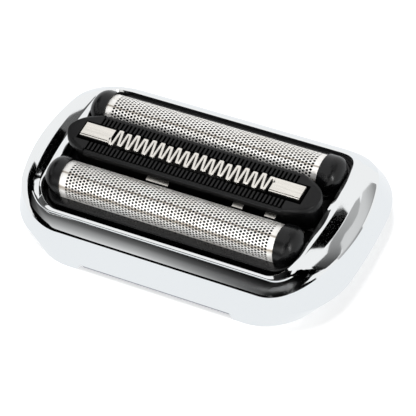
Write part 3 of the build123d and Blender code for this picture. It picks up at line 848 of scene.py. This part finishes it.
# Three tabs of the strip come out under the guard's front edge, bent down a little.
TABS = ((-7.2, -2.9), (9.6, 11.6), (15.8, 17.8))
TAB_PROFILE = [(-3.3, 11.1), (-4.42, 10.72), (-4.42, 10.62), (-3.3, 11.0)]
points, faces = [], []
for x0, x1 in TABS:
    add_prism(points, faces, TAB_PROFILE, x0, x1, lambda y, z, x: (x, y, z))
tabs = make_piece("trimmer_comb_tabs", points, faces)

STAMPED_EDGE = 0.03
for piece in (pads, tabs):
    soft_edges(piece, STAMPED_EDGE)

# Ground comb steel: bright and slightly warm, with fine lines along the strip.
comb_steel = rolled_steel("ground_comb_steel", "#f0ece5", (0.12, 1, 1), 0.2, 0.32)
for piece in (serpentine, pads, tabs):
    piece.data.materials.append(comb_steel)
    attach(piece, "trimmer_unit")
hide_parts("trimmer_comb")


# ---------------------------------------------------------------- trimmer blade
# The slotted blade that swings under the comb, seen only as dark metal between the comb's waves.
# Its steel is coloured near black, a painted shade, so the gaps in the comb stay dark as the shadow between the
# waves would.

shade_dark_blade = rolled_steel("shade_dark_blade_steel", "#2a2928", (0.1, 1, 1), 0.35, 0.5)
dress(["trimmer_blade"], shade_dark_blade)


# ---------------------------------------------------------------- studio
# A white sweep under soft overhead light, with a few cards out of sight that give the chrome its dark bands.
# The floor is white to the camera and to reflections, and keeps the object's own soft shadow.

FLOOR_HALF = 750.0
FLOOR_Z = -0.02


def flat_card(name, corners):
    mesh = bpy.data.meshes.new(name)
    mesh.from_pydata([Vector(c) * mm for c in corners], [], [list(range(len(corners)))])
    card = bpy.data.objects.new(name, mesh)
    bpy.context.scene.collection.objects.link(card)
    return card


floor = flat_card("floor", [
    (x * FLOOR_HALF, y * FLOOR_HALF, FLOOR_Z) for x, y in ((-1, -1), (1, -1), (1, 1), (-1, 1))
])
paper, tree = new_material("white_paper_sweep")
path = node(tree, "ShaderNodeLightPath")
mirrored = node(tree, "ShaderNodeMath", {
    0: path.outputs["Is Glossy Ray"], 1: path.outputs["Is Transmission Ray"],
}, operation="MAXIMUM")
matt = node(tree, "ShaderNodeBsdfDiffuse", {"Color": colour("#f4f4f4")})
lift = node(tree, "ShaderNodeEmission", {"Color": colour("#ffffff"), "Strength": 0.34})
white = node(tree, "ShaderNodeEmission", {"Color": colour("#fbfdff"), "Strength": 1.0})
lit = node(tree, "ShaderNodeAddShader", {0: matt.outputs[0], 1: lift.outputs[0]})
seen = node(tree, "ShaderNodeMixShader", {
    0: path.outputs["Is Camera Ray"], 1: matt.outputs[0], 2: lit.outputs[0],
})
mix = node(tree, "ShaderNodeMixShader", {0: mirrored.outputs[0], 1: seen.outputs[0], 2: white.outputs[0]})
node(tree, "ShaderNodeOutputMaterial", {"Surface": mix.outputs[0]})
floor.data.materials.append(paper)

world = bpy.data.worlds.new("soft_studio")
bpy.context.scene.world = world
world.use_nodes = True
tree = world.node_tree
tree.nodes.clear()
path = node(tree, "ShaderNodeLightPath")
seen = node(tree, "ShaderNodeMath", {
    0: path.outputs["Is Camera Ray"], 1: path.outputs["Is Glossy Ray"],
}, operation="MAXIMUM")
seen = node(tree, "ShaderNodeMath", {
    0: seen.outputs[0], 1: path.outputs["Is Transmission Ray"],
}, operation="MAXIMUM")
fill = node(tree, "ShaderNodeBackground", {"Color": colour("#ffffff"), "Strength": 0.6})
white = node(tree, "ShaderNodeBackground", {"Color": colour("#ffffff"), "Strength": 1.0})
sky = node(tree, "ShaderNodeMixShader", {0: seen.outputs[0], 1: fill.outputs[0], 2: white.outputs[0]})
node(tree, "ShaderNodeOutputWorld", {"Surface": sky.outputs[0]})

# The cards stand round the object at one distance and are seen only by reflections; they throw no shadow.
CARD_REACH = 80.0
CARD_STEPS = 12


def curved_card(name, columns, material):
    """Card bent round the object; each column is a bearing (0 front, 90 right) and two elevations in degrees."""
    points, faces = [], []
    for bearing, low, high in columns:
        a = radians(bearing)
        for i in range(CARD_STEPS + 1):
            e = radians(low + (high - low) * i / CARD_STEPS)
            points.append((CARD_REACH * sin(a) * cos(e), -CARD_REACH * cos(a) * cos(e), CARD_REACH * sin(e)))
    for c in range(len(columns) - 1):
        for i in range(CARD_STEPS):
            k = c * (CARD_STEPS + 1) + i
            faces.append((k, k + 1, k + CARD_STEPS + 2, k + CARD_STEPS + 1))
    card = make_piece(name, points, faces)
    card.visible_camera = card.visible_diffuse = card.visible_shadow = card.visible_transmission = False
    card.data.materials.append(material)


def plain_card(name, tone):
    material, tree = new_material(name)
    glow = node(tree, "ShaderNodeEmission", {"Color": colour(tone), "Strength": 1.0})
    node(tree, "ShaderNodeOutputMaterial", {"Surface": glow.outputs[0]})
    return material


def sprayed_card(name, *sweeps):
    """Card sprayed in greys; each sweep is an axis of the direction from the object and its stops."""
    material, tree = new_material(name)
    place = node(tree, "ShaderNodeTexCoord").outputs["Object"]
    bearing = node(tree, "ShaderNodeVectorMath", {0: place}, operation="NORMALIZE")
    parts = node(tree, "ShaderNodeSeparateXYZ", {0: bearing.outputs[0]})
    grey = None
    for axis, stops in sweeps:
        share = node(tree, "ShaderNodeMath", {0: parts.outputs[axis], 1: 0.5, 2: 0.5}, operation="MULTIPLY_ADD")
        shades = [((1 + spot) / 2, colour(tone)) for spot, tone in stops]
        coat = node(tree, "ShaderNodeValToRGB", {"Fac": share.outputs[0]}, shades).outputs[0]
        if grey is None:
            grey = coat
            continue
        grey = node(tree, "ShaderNodeMix", {
            "Factor": 1.0, 6: grey, 7: coat,
        }, data_type="RGBA", blend_type="MULTIPLY").outputs[2]
    glow = node(tree, "ShaderNodeEmission", {"Color": grey, "Strength": 1.0})
    node(tree, "ShaderNodeOutputMaterial", {"Surface": glow.outputs[0]})
    return material


velvet = plain_card("black_velvet_card", "#020202")
grey_board = plain_card("grey_board_card", "#646464")

# The big front card is sprayed: white at its foot, dark at its top, and fading to black at both ends.
graded = sprayed_card("graded_grey_card", (
    "Z", ((0.2, "#eeeeee"), (0.38, "#b3b3b3"), (0.6, "#6b6b6b"), (0.85, "#2d2d2d")),
), (
    "X", (
        (-0.84, "#040404"), (-0.71, "#808080"), (-0.6, "#f2f2f2"), (-0.4, "#ffffff"), (-0.12, "#808080"),
        (0.0, "#333333"), (0.14, "#060606"),
    ),
))
curved_card("front_graded_card", [
    (-66, 15, 26.5), (-59, 14, 31.5), (-55.5, 14.7, 34), (-54, 15, 48), (-52, 15.5, 48), (-46, 16.5, 60),
    (-40, 16, 62), (-36, 12, 62), (-30, 10, 64), (-15, 10, 64), (0, 9.5, 62), (10, 12, 62), (18, 17.3, 62),
    (22, 20.8, 53), (26, 24.4, 49), (32, 29.5, 48.5), (36, 32.2, 51), (42, 36, 57), (50, 39.5, 57),
    (60, 44.5, 53), (66, 46.5, 52.5), (72, 47.5, 52), (80, 47.5, 52),
], graded)

# A low black card under it draws the dark line along the shoulder's crease.
curved_card("front_low_card", [
    (-101, 18.5, 23.4), (-97, 17, 24.5), (-88, 17, 26.6), (-82, 17, 27.8), (-76, 16.5, 27.5),
    (-70, 15.5, 26.5), (-64, 14, 25), (-59, 10, 14), (-52, 7, 15.5), (-46, 4.5, 16.5), (-40, 4, 16),
    (-36, 4, 12), (-30, 4, 9.8), (0, 4, 9.3), (10, 6, 12), (20, 11, 19), (30, 20, 28), (36, 24, 32.2),
    (42, 29.3, 36), (50, 35, 39.5), (55, 38.6, 42), (60, 41.3, 44.5), (66, 43.3, 46.5), (72, 45, 47.5),
    (79, 46.6, 47.5),
], velvet)

# Black and grey boards at the left and a black one behind on the right darken the facets of the lip.
curved_card("left_facet_card", [
    (-112, 23.2, 43), (-109, 24, 44.5), (-104, 23.8, 45.5), (-98, 23.6, 46),
], velvet)
curved_card("left_grey_card", [
    (-121, 22, 36), (-116, 22.3, 38), (-112, 23.2, 41),
], grey_board)
curved_card("left_corner_card", [
    (-98, 35, 46), (-92, 37, 46.5), (-76, 38.5, 46.5), (-60, 40, 46), (-55.5, 41, 46),
], velvet)
curved_card("right_black_card", [
    (127.5, 59.5, 64.5), (132, 57.8, 64.5), (138, 55.5, 64.5), (142, 55.4, 63), (145.2, 55.6, 60),
], velvet)

# The right end looks at a grey board that fades to black towards the front, over a lighter board.
fading = sprayed_card("fading_grey_card", (
    "Y", ((0.0, "#202020"), (0.128, "#585858"), (0.27, "#989898"), (0.45, "#b4b4b4")),
))
curved_card("right_fading_card", [
    (80, 47, 53.5), (88, 48, 55), (96, 47, 55.5), (102, 47, 56), (108, 50, 56), (112, 51, 55.8),
    (118, 53, 57), (124, 52.5, 57.5), (128, 50, 58), (132, 47.8, 56), (136, 46.5, 54), (139, 46.5, 52),
], fading)
light_board = sprayed_card("light_grey_card", (
    "Z", ((0.57, "#9c9c9c"), (0.69, "#d4d4d4"), (0.76, "#dcdcdc")),
))
curved_card("right_light_card", [
    (97, 34, 44), (106, 34, 48), (112, 34, 51), (118, 34, 53), (124, 34, 52.5), (128, 34, 50),
    (132, 32, 47.8), (136, 30, 46.5), (139.5, 30, 44.5),
], light_board)


def aim(thing, at, towards):
    thing.location = Vector(at) * mm
    thing.rotation_euler = (Vector(towards) - Vector(at)).to_track_quat("-Z", "Y").to_euler()


LAMP_AIM = (0, 0, 8)


def soft_box(name, at, size, power):
    lamp = bpy.data.lights.new(name, "AREA")
    lamp.shape = "RECTANGLE"
    lamp.size, lamp.size_y = size[0] * mm, size[1] * mm
    lamp.energy = power
    holder = bpy.data.objects.new(name, lamp)
    bpy.context.scene.collection.objects.link(holder)
    aim(holder, at, LAMP_AIM)
    return holder


# The overhead box lights the scene, and the other two only give highlights. The front one stands behind the
# graded card, which throws no shadow, so it lights the satin foils and stays out of the mirror of the chrome.
soft_box("overhead_box", (-120, 160, 420), (300, 200), 1.6).visible_glossy = False
soft_box("side_box", (320, -149, 188), (60, 140), 0.25).visible_diffuse = False
soft_box("front_box", (-30, -338, 212), (200, 120), 1.3).visible_diffuse = False

# The camera stands at the photo's viewing angle, with a long lens.
CAMERA_AIM = (3.888, -3.787, 7.0)
CAMERA_AZIMUTH = 41.5055
CAMERA_ELEVATION = 49.4292
CAMERA_ROLL = 16.8908
CAMERA_DISTANCE = 466.84
CAMERA_LENS = 239.28

bearing, rise, roll = radians(CAMERA_AZIMUTH), radians(CAMERA_ELEVATION), radians(CAMERA_ROLL)
away = Vector((sin(bearing) * cos(rise), -cos(bearing) * cos(rise), sin(rise)))
level_right = Vector((cos(bearing), sin(bearing), 0))
level_up = away.cross(level_right)
right = level_right * cos(roll) - level_up * sin(roll)
up = level_right * sin(roll) + level_up * cos(roll)
lens = bpy.data.cameras.new("camera")
lens.lens = CAMERA_LENS
lens.sensor_width = 36.0
lens.clip_start = 0.01
camera = bpy.data.objects.new("camera", lens)
bpy.context.scene.collection.objects.link(camera)
turn = Matrix((right, up, away)).transposed().to_4x4()
camera.matrix_world = Matrix.Translation((Vector(CAMERA_AIM) + away * CAMERA_DISTANCE) * mm) @ turn
bpy.context.scene.camera = camera
bpy.context.scene.view_settings.view_transform = "Standard"
